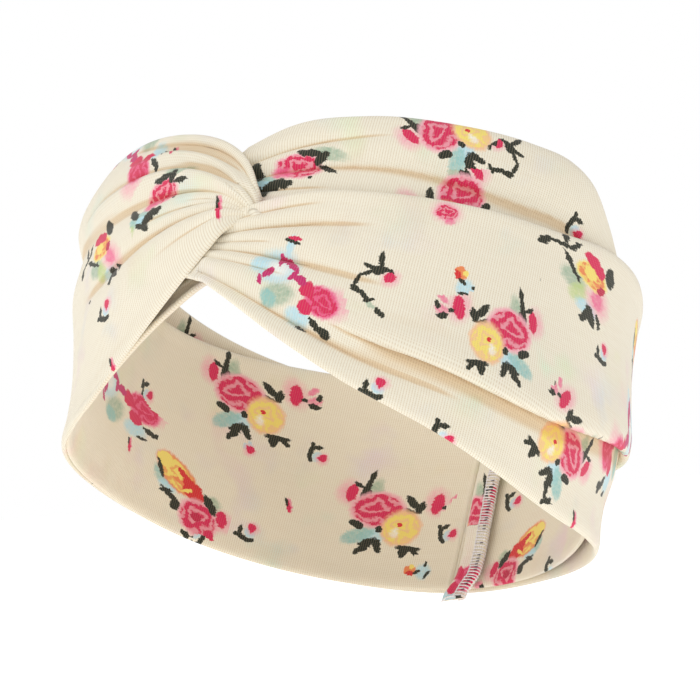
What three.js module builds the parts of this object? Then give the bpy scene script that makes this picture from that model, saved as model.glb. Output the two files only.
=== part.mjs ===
// Knotted headband: two wide strips of printed jersey hooked round each other at
// the front, their four ends joined by one overlocked seam at the back.
// Millimetres, +Z up as worn. The knot faces -Y and +X is to the right of the knot.
// The origin is the centre of the head opening.

import * as THREE from 'three';

// Loop and strips.
const LOOP_HALF_WIDTH = 86; // opening centre to cloth, left to right
const LOOP_HALF_DEPTH = 76; // opening centre to cloth, front to back
const STRIP_WIDTH = 76; // flat width of one strip, as it enters the back seam
const CLOTH = 1.5; // a strip is a flattened tube: two plies of knit
const LAYER = 1.2; // mid-layer of each leg lies this far either side of the loop
const SPLIT_GAP = 0.3; // clearance between two neighbouring sections
const WORN_TILT = 29; // degrees: knot high on the hairline, seam low on the nape

// Knot.
const KNOT_HEIGHT = 20; // height of the knot centre above the middle of the loop
const BUNDLE = 4; // thickness of a gathered strip inside the knot
const HOOK_DEPTH = 4; // the hooked bends are centred this far outside the loop

// Back seam.
const FLAP_WIDTH = 9; // seam allowance, root to overlocked cut edge
const FLAP_THICKNESS = 2.4;
const STITCH_THICKNESS = 0.5;
const STITCH_BITE = 5.5; // how far the overlock threads reach in from the cut edge
const HINGE_CLEARANCE = 0.6;

const HALF_STRIP = STRIP_WIDTH / 2;
const SEAM_ANGLE = 179.85;
const HALF_TURN = Math.PI;

const jersey = () => new THREE.MeshStandardMaterial({
  name: 'printed_jersey',
  color: 0xf1e7d5,
  roughness: 0.9,
});
const thread = () => new THREE.MeshStandardMaterial({
  name: 'overlock_thread',
  color: 0xf6f3ee,
  roughness: 0.8,
});

// A point given by its angle round the loop (degrees, 0 at the knot, +90 at the
// right side), its height along the loop axis and its distance outside the loop.
function onLoop(angle, height, outside) {
  const turn = THREE.MathUtils.degToRad(angle);
  return new THREE.Vector3(
    (LOOP_HALF_WIDTH + outside) * Math.sin(turn),
    -(LOOP_HALF_DEPTH + outside) * Math.cos(turn),
    height,
  );
}

// Values between the stations of a strip, eased so that the edges run smoothly.
function between(stations, at) {
  let i = 0;
  while (i < stations.length - 2 && at > stations[i + 1][0]) {
    i += 1;
  }
  const curve = (k) => {
    const last = stations.length - 1;
    const a = stations[Math.max(i - 1, 0)];
    const b = stations[i];
    const c = stations[i + 1];
    const d = stations[Math.min(i + 2, last)];
    const span = c[0] - b[0];
    const t = THREE.MathUtils.clamp((at - b[0]) / span, 0, 1);
    const m0 = ((c[k] - a[k]) / (c[0] - a[0])) * span;
    const m1 = ((d[k] - b[k]) / (d[0] - b[0])) * span;
    const t2 = t * t;
    const t3 = t2 * t;
    return (2 * t3 - 3 * t2 + 1) * b[k] + (t3 - 2 * t2 + t) * m0
      + (-2 * t3 + 3 * t2) * c[k] + (t3 - t2) * m1;
  };
  return stations[0].map((value, k) => (k === 0 ? at : curve(k)));
}

// A box whose three directions are bent: along the strip, across it, through it.
function bentStrip(name, steps, across, place) {
  const geometry = new THREE.BoxGeometry(1, 1, 1, steps, across, 1);
  const position = geometry.attributes.position;
  for (let i = 0; i < position.count; i += 1) {
    const p = place(position.getX(i) + 0.5, position.getY(i), position.getZ(i));
    position.setXYZ(i, p.x, p.y, p.z);
  }
  geometry.computeVertexNormals();
  const mesh = new THREE.Mesh(geometry, jersey());
  mesh.name = name;
  return mesh;
}

// Legs: angle, lower edge, upper edge, distance outside the loop, belly between
// the edges. They fan out from the knot and reach the strip width at the seam.
const LEFT_OUTER = [
  [-SEAM_ANGLE, -HALF_STRIP, HALF_STRIP, LAYER, 0],
  [-120, -HALF_STRIP, HALF_STRIP, LAYER, 0.5],
  [-80, -45, 39, LAYER + 1, 3],
  [-50, -46, 46, LAYER + 2, 6],
  [-30, -37, 50, LAYER + 3, 5],
  [-14, -19, 48, LAYER + 3.5, 3],
];
const LEFT_INNER = [
  [-SEAM_ANGLE, -HALF_STRIP, HALF_STRIP, -LAYER, 0],
  [-130, -HALF_STRIP, 37, -LAYER, 0],
  [-85, -43, 29, -LAYER, 0],
  [-60, -46, 27, -LAYER, 0],
  [-30, -45, 25, -LAYER, 0],
  [-14, -29, 33, -LAYER, 0],
];
const RIGHT_OUTER = [
  [15, -24, 17.5, HOOK_DEPTH, 1],
  [30, -36, 21.5, LAYER + 2, 2],
  [60, -50, 27, LAYER + 1, 2],
  [85, -53, 25, LAYER, 1],
  [120, -45, 32, LAYER, 0],
  [150, -HALF_STRIP, HALF_STRIP, LAYER, 0],
  [SEAM_ANGLE, -HALF_STRIP, HALF_STRIP, LAYER, 0],
];
const RIGHT_INNER = [
  [15, 19.5, 46, 1.5, 0],
  [30, 6, 50, -0.5, 0],
  [60, -24, 54, -LAYER, 0],
  [85, -28, 51, -LAYER, 0],
  [120, -32, 44, -LAYER, 0],
  [150, -HALF_STRIP, HALF_STRIP, -LAYER, 0],
  [SEAM_ANGLE, -HALF_STRIP, HALF_STRIP, -LAYER, 0],
];

function leg(name, stations) {
  const start = stations[0][0];
  const end = stations[stations.length - 1][0];
  return bentStrip(name, 34, 5, (along, across, through) => {
    const angle = start + (end - start) * along;
    const [, low, high, outside, belly] = between(stations, angle);
    const height = (low + high) / 2 + (high - low) * across;
    const bulge = belly * (1 - 4 * across * across);
    return onLoop(angle, height, outside + bulge + CLOTH * through);
  });
}

const legs = [
  leg('left_strip_outer_leg', LEFT_OUTER),
  leg('left_strip_inner_leg', LEFT_INNER),
  leg('right_strip_outer_leg', RIGHT_OUTER),
  leg('right_strip_inner_leg', RIGHT_INNER),
];

// Left strip in the knot: it comes over the front, turns back round a vertical
// fold between the two legs of the right strip and leaves on the inside.
// Progress, angle, distance outside the loop, lower edge, upper edge, thickness.
const splitAngle = THREE.MathUtils.radToDeg(SPLIT_GAP / LOOP_HALF_WIDTH);
const hookReach = 5; // half the distance between the two layers of the hook
const LEFT_HOOK = [
  [0.0, -14 + splitAngle, LAYER + 3.5, -19, 48, CLOTH, 3],
  [0.25, -6, HOOK_DEPTH + hookReach, -5, 43, 2.4, 1.5],
  [0.42, 2.5, HOOK_DEPTH + hookReach, 13, 33, BUNDLE, 0],
  [0.5, 6.0, HOOK_DEPTH + hookReach * 0.6, 14, 27, BUNDLE, 0],
  [0.56, 7.0, HOOK_DEPTH, 14, 27, BUNDLE, 0],
  [0.62, 6.0, HOOK_DEPTH - hookReach * 0.6, 14, 27, BUNDLE, 0],
  [0.7, 2.5, HOOK_DEPTH - hookReach, 11, 28, 3, 0],
  [0.84, -6, -LAYER - 0.4, -12, 32, 2, 0],
  [1.0, -14 + splitAngle, -LAYER, -29, 33, CLOTH, 0],
];

function leftHook(progress) {
  const [, angle, outside, low, high, thick, belly] = between(LEFT_HOOK, progress);
  return { angle, outside, low, high, thick, belly };
}

const leftBight = bentStrip('left_strip_knot_bight', 32, 5, (along, across, through) => {
  const here = leftHook(along);
  const step = 0.004;
  const before = leftHook(Math.max(along - step, 0));
  const after = leftHook(Math.min(along + step, 1));
  const height = (here.low + here.high) / 2 + (here.high - here.low) * across;
  const bulge = here.belly * (1 - 4 * across * across);
  const back = onLoop(before.angle, 0, before.outside);
  const ahead = onLoop(after.angle, 0, after.outside);
  const forward = ahead.sub(back).setZ(0).normalize();
  const outward = new THREE.Vector3(forward.y, -forward.x, 0);
  const middle = onLoop(here.angle, height, here.outside + bulge);
  return middle.addScaledVector(outward, here.thick * through);
});

// Right strip in the knot: it bends downwards behind the left strip, one leg
// above the hooked fold of the left strip and one leg below it.
// Progress, angle, height of its middle, half its gathered width, distance outside
// the loop, thickness, belly.
const RIGHT_HOOK = [
  [0.0, 15 - splitAngle, -3.25, 20.75, HOOK_DEPTH, CLOTH, 1],
  [0.16, 8.5, 2.3, 10.4, HOOK_DEPTH, 3, 0],
  [0.3, 2.5, 4.8, 7.2, HOOK_DEPTH, BUNDLE, 0],
  [0.42, -3.4, 11, 5.2, HOOK_DEPTH, BUNDLE, 0],
  [0.5, -4.8, KNOT_HEIGHT, 4.6, HOOK_DEPTH, BUNDLE, 0],
  [0.58, -3.4, 30, 5.2, HOOK_DEPTH, BUNDLE, 0],
  [0.7, 2.5, 35.6, 6.6, HOOK_DEPTH, BUNDLE, 0],
  [0.84, 8.5, 36, 8.2, HOOK_DEPTH - 1, 3, 0],
  [1.0, 15 - splitAngle, 32.75, 13.25, 1.5, CLOTH, 0],
];

const rightBight = bentStrip('right_strip_knot_bight', 32, 4, (along, across, through) => {
  const here = between(RIGHT_HOOK, along);
  const step = 0.004;
  const before = between(RIGHT_HOOK, Math.max(along - step, 0));
  const after = between(RIGHT_HOOK, Math.min(along + step, 1));
  const [, angle, height, halfWidth, outside, thick, belly] = here;
  const millimetres = THREE.MathUtils.degToRad(LOOP_HALF_WIDTH + outside);
  const easy = Math.min(along, 1 - along) < 0.01;
  const run = easy ? Math.sign(0.5 - along) * -1 : (after[1] - before[1]) * millimetres;
  const rise = easy ? 0 : after[2] - before[2];
  const length = Math.hypot(run, rise);
  const side = 2 * halfWidth * across;
  const bulge = belly * (1 - 4 * across * across);
  const turned = angle - ((rise / length) * side) / millimetres;
  return onLoop(turned, height + (run / length) * side, outside + bulge + thick * through);
});

// Back seam. The allowance stands inside the band and swings about its root.
const rootRadius = FLAP_THICKNESS / 2;
const innerFace = LOOP_HALF_DEPTH - LAYER - CLOTH / 2;
const hingeY = innerFace - rootRadius - HINGE_CLEARANCE;

const flapOutline = new THREE.Shape();
flapOutline.absarc(0, 0, rootRadius, HALF_TURN / 2, 1.5 * HALF_TURN, false);
flapOutline.lineTo(FLAP_WIDTH - rootRadius, -rootRadius);
flapOutline.lineTo(FLAP_WIDTH - rootRadius, rootRadius);
flapOutline.closePath();
const flapGeometry = new THREE.ExtrudeGeometry(flapOutline, {
  depth: STRIP_WIDTH - 2,
  bevelEnabled: false,
  curveSegments: 10,
});
flapGeometry.translate(0, 0, -HALF_STRIP + 1);
const flap = new THREE.Mesh(flapGeometry, jersey());
flap.name = 'seam_allowance';

// The overlock threads wrap the cut edge of the allowance from face to face.
const inner = rootRadius + 0.05;
const outer = inner + STITCH_THICKNESS;
const cut = FLAP_WIDTH - rootRadius + 0.05;
const wrapOutline = new THREE.Shape();
wrapOutline.moveTo(cut - STITCH_BITE, inner);
wrapOutline.lineTo(cut, inner);
wrapOutline.lineTo(cut, -inner);
wrapOutline.lineTo(cut - STITCH_BITE, -inner);
wrapOutline.lineTo(cut - STITCH_BITE, -outer);
wrapOutline.lineTo(cut + STITCH_THICKNESS, -outer);
wrapOutline.lineTo(cut + STITCH_THICKNESS, outer);
wrapOutline.lineTo(cut - STITCH_BITE, outer);
wrapOutline.closePath();
const wrapGeometry = new THREE.ExtrudeGeometry(wrapOutline, {
  depth: STRIP_WIDTH,
  bevelEnabled: false,
});
wrapGeometry.translate(0, 0, -HALF_STRIP);
const wrap = new THREE.Mesh(wrapGeometry, thread());
wrap.name = 'overlock_thread';

const seam = new THREE.Group();
seam.name = 'back_seam';
seam.position.set(0, hingeY, 0);
seam.rotation.z = THREE.MathUtils.degToRad(-9);
seam.add(flap, wrap);

const band = new THREE.Group();
band.name = 'band';
band.rotation.x = THREE.MathUtils.degToRad(-WORN_TILT);
band.add(...legs, leftBight, rightBight, seam);

const headband = new THREE.Group();
headband.name = 'knotted_headband';
headband.add(band);

export default headband;
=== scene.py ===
import math

import bpy
import numpy as np
from mathutils import Matrix, Vector


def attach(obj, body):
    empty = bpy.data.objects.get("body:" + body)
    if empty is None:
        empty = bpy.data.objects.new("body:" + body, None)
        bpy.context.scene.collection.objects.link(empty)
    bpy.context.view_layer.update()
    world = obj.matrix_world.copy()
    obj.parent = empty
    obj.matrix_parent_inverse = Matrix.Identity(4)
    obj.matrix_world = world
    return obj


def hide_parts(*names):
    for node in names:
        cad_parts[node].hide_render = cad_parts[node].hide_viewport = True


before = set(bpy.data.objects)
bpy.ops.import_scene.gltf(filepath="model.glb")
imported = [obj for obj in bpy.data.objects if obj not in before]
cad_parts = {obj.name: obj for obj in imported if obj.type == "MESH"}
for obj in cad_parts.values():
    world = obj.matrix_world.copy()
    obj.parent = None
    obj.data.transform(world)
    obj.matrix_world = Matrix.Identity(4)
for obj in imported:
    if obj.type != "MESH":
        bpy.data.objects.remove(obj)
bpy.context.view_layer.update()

# ---------------------------------------------------------------- dimensions, mm
LOOP_HALF_WIDTH = 86.0
LOOP_HALF_DEPTH = 76.0
STRIP_WIDTH = 76.0
WORN_TILT = math.radians(29.0)
MM_PER_DEGREE = math.radians(1.0) * LOOP_HALF_WIDTH
CLOTH = 1.5  # two plies of jersey pressed together
LAYER = 1.3  # how far an outer leg stands off the loop where it lies flat
HALF = STRIP_WIDTH / 2
SEAM_ANGLE = 179.9  # degrees round the loop from the knot to a strip's sewn end
SEAM_TUCK = 1.3  # how far the cloth turns in at the back seam
SEAM_ROOT = 72.25  # from the middle of the loop to the root of the seam allowance
FLAP_WIDTH = 9.8
FLAP_TURN = math.radians(9.0)  # the allowance's lean off the strip it lies on
STITCH_LINE = 6.0  # from the root of the allowance to the overlock needle line
STITCH_PITCH = 1.05

# ---------------------------------------------------------------- rows of cloth along each leg
RIGHT_OUTER_ROWS = 190
RIGHT_HOOK_ROWS = 30
RIGHT_INNER_ROWS = 170
LEFT_OUTER_ROWS = 110
LEFT_DOME_ROWS = 110
LEFT_HOOK_ROWS = 24
LEFT_INNER_ROWS = 170

# ---------------------------------------------------------------- small maths
def smooth(x, low, high):
    t = np.clip((x - low) / (high - low), 0.0, 1.0)
    return t * t * (3.0 - 2.0 * t)


def through(stations, x):
    """A smooth curve through (position, value) stations."""
    xs = np.array([s[0] for s in stations], float)
    ys = np.array([s[1] for s in stations], float)
    slopes = np.gradient(ys, xs)
    k = np.clip(np.searchsorted(xs, x, side="right") - 1, 0, len(xs) - 2)
    span = xs[k + 1] - xs[k]
    t = np.clip((x - xs[k]) / span, 0.0, 1.0)
    t2 = t * t
    t3 = t2 * t
    a = (2 * t3 - 3 * t2 + 1) * ys[k] + (t3 - 2 * t2 + t) * slopes[k] * span
    return a + (-2 * t3 + 3 * t2) * ys[k + 1] + (t3 - t2) * slopes[k + 1] * span


def on_loop(angle, height, outside):
    """Degrees round the loop, mm along its axis, mm outside it -> row frame, metres."""
    turn = np.radians(angle)
    x = (LOOP_HALF_WIDTH + outside) * np.sin(turn)
    y = -(LOOP_HALF_DEPTH + outside) * np.cos(turn)
    c, s = math.cos(WORN_TILT), math.sin(WORN_TILT)
    return np.stack([x, y * c + height * s, -y * s + height * c], -1) * 0.001


def ridge(v, low, high, skew=0.0):
    """A rounded puff of cloth between two creases, zero at both."""
    x = np.clip((2 * v - low - high) / (high - low), -1.0, 1.0)
    return np.power(np.maximum(1 - x * x, 0.0), 0.75) * (1 + skew * x)


def lapped(v, at, width, lap, rise):
    """A pleat: the side above `at` laps down over the side below it."""
    x = (v - at) / width
    return -lap * 1.6 * x * np.exp(-x * x), rise * np.tanh(1.6 * x) * np.exp(-0.06 * x * x)


def groove(v, at, width):
    """A sharp crease with soft shoulders."""
    x = (v - at) / width
    return -np.exp(-1.3 * (np.sqrt(x * x + 0.08) - 0.28))


def on_angles(stations, angle):
    return through(stations, angle)[:, None]


# ---------------------------------------------------------------- right strip
def seam_tuck(a):
    """The cloth turns in where the strips' ends are sewn together."""
    return SEAM_TUCK * np.exp(-np.square((180 - np.abs(a)) / 1.1))


ACROSS = 141
w = np.linspace(-1, 1, ACROSS)
V = 0.8 * w + 0.2 * np.sin(w * math.pi / 2)

# edges of the legs: degrees round the loop, mm along its axis
RIGHT_OUTER_TOP = [
    (2, 12), (9, 15.5), (19, 20), (34, 23), (52, 25.5), (70, 29),
    (85, 35), (100, 39), (120, 41), (150, 38.5), (180, 38),
]
RIGHT_OUTER_LOW = [
    (2, -10), (9, -17), (19, -27), (34, -38.5), (52, -46.5), (70, -52),
    (88, -53), (105, -49), (122, -43), (150, -38.5), (180, -38),
]
RIGHT_INNER_TOP = [
    (3, 38), (11, 45), (26, 50), (44, 53), (62, 56), (72, 57),
    (80, 54.5), (88, 47), (98, 38), (115, 36), (145, 38), (180, 38),
]
RIGHT_INNER_LOW = [
    (3, 15), (11, 11), (26, 4), (44, -9), (62, -23),
    (78, -27), (95, -30), (120, -34), (145, -37), (180, -38),
]
# how far the front leg stands off the loop: degrees, mm
RIGHT_OUTER_STANDS = [
    (2, 6.2), (12, 6.0), (35, 4.4), (60, 4.6), (85, 2.4), (110, 0.7), (140, 1.1), (180, LAYER),
]
# the pleat's line: degrees, place across the strip from -1 to 1
PLEAT = [(26, -0.52), (45, -0.48), (62, -0.47), (78, -0.42), (92, -0.34), (120, -0.2), (150, -0.05)]


def right_outer(angle):
    a = angle[:, None]
    v = V[None, :]
    low = on_angles(RIGHT_OUTER_LOW, angle)
    top = on_angles(RIGHT_OUTER_TOP, angle)
    height = (low + top) / 2 + (top - low) / 2 * v
    outside = on_angles(RIGHT_OUTER_STANDS, angle)
    pleat = on_angles(PLEAT, angle)
    folded = smooth(a, 27, 44) * (1 - smooth(a, 124, 160))
    # the cloth swells towards the pleat and tucks in below it
    swell = np.exp(-np.square((v - pleat - 0.12) / 0.42))
    outside = outside + 2.4 * swell * smooth(a, 30, 70)
    outside = outside + 1.1 * swell * smooth(a, 80, 112) * (1 - smooth(a, 124, 165))
    outside = outside + 1.2 * (1 - v * v) * smooth(a, 10, 60) * (1 - smooth(a, 75, 125))
    outside = outside + 1.8 * smooth(-v, 0.55, 1.0) * smooth(a, 76, 100) * (1 - smooth(a, 125, 160))
    outside = outside - 1.0 * smooth(pleat - v, 0.1, 0.75) * smooth(a, 55, 90) * (1 - smooth(a, 110, 150))
    # creases that run out of the knot: position, drift, where they fade, depth
    creases = (
        (0.42, 0.006, 14, 36, 2.6, 0.08),
        (0.22, 0.0, 6, 17, 2.1, 0.07),
        (0.0, 0.001, 14, 42, 2.7, 0.09),
        (-0.28, 0.004, 8, 22, 1.6, 0.07),
        (-0.74, 0.0012, 34, 62, 2.6, 0.08),
        (0.74, 0.0035, 10, 26, 1.6, 0.08),
    )
    for at, drift, start, end, depth, width in creases:
        spread = width * (1 + 0.6 * (1 - smooth(a, 2, 16)))
        outside = outside + depth * groove(v, at + drift * a, spread) * (1 - smooth(a, start, end))
    outside = outside + 1.6 * (1 - v * v) * (1 - smooth(a, 4, 20))
    dh, do = lapped(v, pleat, 0.045, 3.0, 1.6)
    height = height + dh * folded
    outside = outside + do * folded
    return a + 0 * v, height, outside


def right_inner(angle):
    a = angle[:, None]
    v = -V[None, :]
    low = on_angles(RIGHT_INNER_LOW, angle)
    top = on_angles(RIGHT_INNER_TOP, angle)
    height = (low + top) / 2 + (top - low) / 2 * v
    outside = on_angles([(3, 2.4), (15, 1.2), (35, 0.0), (60, -1.3), (180, -1.4)], angle)
    crease = on_angles([(3, -0.1), (10, 0.0), (35, 0.3), (60, 0.42), (78, 0.5), (100, 0.55)], angle)
    puff = 2.6 * ridge(v, crease, crease * 0 + 1.0) * (1 - smooth(a, 70, 100))
    puff = puff + 1.5 * ridge(v, crease - 0.9, crease) * (1 - smooth(a, 50, 80))
    puff = puff + 2.1 * groove(v, crease + 0.42, 0.09) * (1 - smooth(a, 12, 38))
    puff = puff + 1.6 * groove(v, crease - 0.35, 0.09) * (1 - smooth(a, 8, 26))
    return a + 0 * v, height, outside + puff


def right_hook(count):
    """The bend behind the left strip, from the lower leg up to the upper leg."""
    t = np.linspace(0, 1, count)
    angle = through([(0, 2), (0.25, -4.5), (0.5, -8.5), (0.75, -4.0), (1, 3)], t)
    height = through([(0, 1.0), (0.25, 3.2), (0.5, 14), (0.75, 25), (1, 26.5)], t)
    half = through([(0, 11), (0.25, 8), (0.5, 6.2), (0.75, 8.4), (1, 11.5)], t)
    outside = through([(0, 6.2), (0.5, 3.4), (1, 2.4)], t)
    run = np.gradient(angle) * MM_PER_DEGREE
    rise = np.gradient(height)
    run[0], rise[0] = -1, 0
    run[-1], rise[-1] = 1, 0
    length = np.hypot(run, rise)
    side = half[:, None] * V[None, :]
    a = angle[:, None] + (rise / length)[:, None] * side / MM_PER_DEGREE
    h = height[:, None] - (run / length)[:, None] * side
    return a, h, outside[:, None] + 0 * side


def stack(parts):
    parts = [(a, h, outside - seam_tuck(a)) for a, h, outside in parts]
    return [np.concatenate([p[k] for p in parts], 0) for k in range(3)]


RIGHT = stack([
    right_outer(np.linspace(SEAM_ANGLE, 2, RIGHT_OUTER_ROWS)),
    tuple(x[1:-1] for x in right_hook(RIGHT_HOOK_ROWS)),
    right_inner(np.linspace(3, SEAM_ANGLE, RIGHT_INNER_ROWS)),
])

# ---------------------------------------------------------------- left strip
LEFT_OUTER_TOP = [(-180, 38), (-130, 38), (-95, 41), (-70, 46), (-50, 50.5)]
LEFT_OUTER_LOW = [(-180, -38), (-150, -36.8), (-110, -36.5), (-80, -38.5), (-50, -43.5)]
LEFT_INNER_TOP = [
    (-180, 38), (-134, 38), (-109, 33), (-85, 28.5), (-60, 27), (-30, 25), (-10, 22), (4, 17),
]
LEFT_INNER_LOW = [
    (-180, -38), (-120, -38), (-85, -39), (-55, -42), (-37, -41.5),
    (-30, -39.5), (-22, -31.5), (-9, -16), (-1, -7), (4, -4),
]
POLE = (8.8, 13.0)  # where the left strip dives behind the right one: degrees, mm
# how far the left front stands off the loop, from its lower to its upper edge
LOBE = [(-1, 1.7), (-0.6, 3.6), (-0.2, 8.2), (0.05, 11.8), (0.34, 13.2), (0.58, 16.9), (0.8, 15.8), (1, 12.0)]


def left_outer_leg(angle):
    a = angle[:, None]
    v = V[None, :]
    low = on_angles(LEFT_OUTER_LOW, angle)
    top = on_angles(LEFT_OUTER_TOP, angle)
    height = (low + top) / 2 + (top - low) / 2 * v
    lobe = through(LOBE, V)[None, :] + 0 * a
    k = on_angles([(-180, 0), (-140, 0.03), (-110, 0.16), (-80, 0.52), (-50, 1.0)], angle)
    outside = LAYER + (lobe - LAYER) * k
    outside = outside + 1.6 * groove(v, 0.36, 0.1) * smooth(a, -78, -52)
    return a + 0 * v, height, outside


def left_dome(count):
    """The front of the knot: every line of the strip curves over and into the pole."""
    t = np.linspace(0, 1, count)[:, None]
    v = V[None, :]
    up = (v + 1) / 2
    start_x = -50 * MM_PER_DEGREE + 0 * v
    start_h = -43.5 + 94 * up
    end_x = (POLE[0] + 2.6 * (up - 0.5)) * MM_PER_DEGREE
    end_h = POLE[1] + 0 * v
    leave_x = 66 - 6 * up
    leave_h = -14 - 3 * up
    turn = np.radians(68 - 154 * np.power(up, 0.85))
    pull = 104 + 22 * up - 30 * np.sin(math.pi * up)
    arrive_x = pull * np.cos(turn)
    arrive_h = pull * np.sin(turn)
    t2 = t * t
    t3 = t2 * t
    x = (2 * t3 - 3 * t2 + 1) * start_x + (t3 - 2 * t2 + t) * leave_x
    x = x + (-2 * t3 + 3 * t2) * end_x + (t3 - t2) * arrive_x
    h = (2 * t3 - 3 * t2 + 1) * start_h + (t3 - 2 * t2 + t) * leave_h
    h = h + (-2 * t3 + 3 * t2) * end_h + (t3 - t2) * arrive_h
    lobe = through(LOBE, V)[None, :]
    front = 8.5 + 3.0 * (1 - v * v)
    k = smooth(t, 0.0, 0.85)
    edge = np.exp(-np.square((v + 1) / 0.35))
    body = lobe * (1 - k) + front * k - 4.4 * edge * np.sin(math.pi * np.clip(t, 0, 1)) ** 2
    body = body - 4.6 * smooth(t, 0.9, 1.0)
    # creases along the strip: position, where they begin, depth, width
    creases = (
        (0.88, 0.3, 1.5, 0.06),
        (0.64, 0.55, 1.5, 0.06),
        (0.26, 0.36, 2.3, 0.085),
        (0.1, 0.62, 1.2, 0.06),
        (0.0, 0.5, 1.6, 0.07),
        (-0.2, 0.26, 2.4, 0.09),
        (-0.55, 0.62, 0.9, 0.08),
    )
    for at, begin, depth, width in creases:
        grow = smooth(t, begin, begin + 0.3)
        body = body + depth * groove(v, at, width * (1 + 0.5 * smooth(t, 0.7, 1))) * grow
    keep = 1.6 * groove(v, 0.36, 0.1) * (1 - smooth(t, 0.0, 0.3))
    # two pleats where the inner turns of the knot lap over the outer ones
    for at, begin, end, lap, rise in ((0.5, 0.1, 0.34, 2.6, 1.5), (0.74, 0.36, 0.62, 2.2, 1.3)):
        dh, do = lapped(-v, -at, 0.05, lap, rise)
        grow = smooth(t, begin, end) * (1 - smooth(t, 0.93, 1.0))
        h = h - dh * grow * (1 - 0.5 * smooth(t, 0.6, 0.9))
        x = x + dh * grow * smooth(t, 0.55, 0.9)
        body = body + do * grow * (1 - 0.3 * smooth(t, 0.75, 1.0))
    return x / MM_PER_DEGREE, h, body + keep


def left_hook(count):
    """From the pole, behind the right strip, to the start of the inner leg."""
    t = np.linspace(0, 1, count)[:, None]
    v = V[None, :]
    angle = POLE[0] + 1.5 * v
    a = angle * (1 - smooth(t, 0.3, 1)) + 4 * smooth(t, 0.3, 1) + 3 * np.sin(math.pi * t)
    h0 = POLE[1] - 7 * smooth(t, 0, 0.5)
    h1 = 5.5 + 11.5 * v
    k = smooth(t, 0.35, 1.0)
    h = h0 * (1 - k) + h1 * k + 0 * v
    outside = 3.9 + 3.0 * (1 - v * v) - (5.9 + 3.0 * (1 - v * v)) * smooth(t, 0, 0.6)
    return a, h, outside


def left_inner(angle):
    a = angle[:, None]
    v = V[None, :]
    low = through(LEFT_INNER_LOW, angle)[:, None]
    top = through(LEFT_INNER_TOP, angle)[:, None]
    height = (low + top) / 2 + (top - low) / 2 * v
    outside = through([(-180, -1.4), (-60, -1.4), (-20, -1.0), (4, -2.0)], angle)[:, None]
    outside = outside + 2.4 * smooth(-v, 0.2, 1.0) * smooth(a, -75, -45)
    near = smooth(a, -45, -5)
    puff = 0.0
    creases = [-1.0, -0.5, 0.0, 0.45, 1.0]
    for c0, c1 in zip(creases[:-1], creases[1:]):
        puff = puff + 1.6 * ridge(v, c0, c1)
    return a + 0 * v, height, outside - puff * near


LEFT = stack([
    left_outer_leg(np.linspace(-SEAM_ANGLE, -50, LEFT_OUTER_ROWS)),
    tuple(x[1:] for x in left_dome(LEFT_DOME_ROWS)),
    tuple(x[1:-1] for x in left_hook(LEFT_HOOK_ROWS)),
    left_inner(np.linspace(4, -SEAM_ANGLE, LEFT_INNER_ROWS)),
])


# ---------------------------------------------------------------- the print
# Print colours, as sRGB.
INK = {
    "rose": (218, 36, 88),
    "deep": (196, 28, 74),
    "pink": (238, 108, 150),
    "blush": (244, 176, 186),
    "red": (218, 44, 50),
    "orange": (238, 138, 84),
    "yellow": (248, 224, 118),
    "peach": (246, 196, 150),
    "sky": (182, 224, 236),
    "teal": (146, 196, 190),
    "sage": (160, 184, 158),
    "lime": (196, 212, 140),
    "magenta": (200, 36, 108),
    "leaf": (36, 42, 32),
    "milk": (250, 246, 236),
}
# How far an ink's edge fades, as a share of its blot.
SOFT = {
    "blush": 0.5,
    "sky": 0.35,
    "teal": 0.25,
    "sage": 0.35,
    "lime": 0.35,
    "milk": 0.6,
    "pink": 0.3,
    "peach": 0.4,
}

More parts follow.
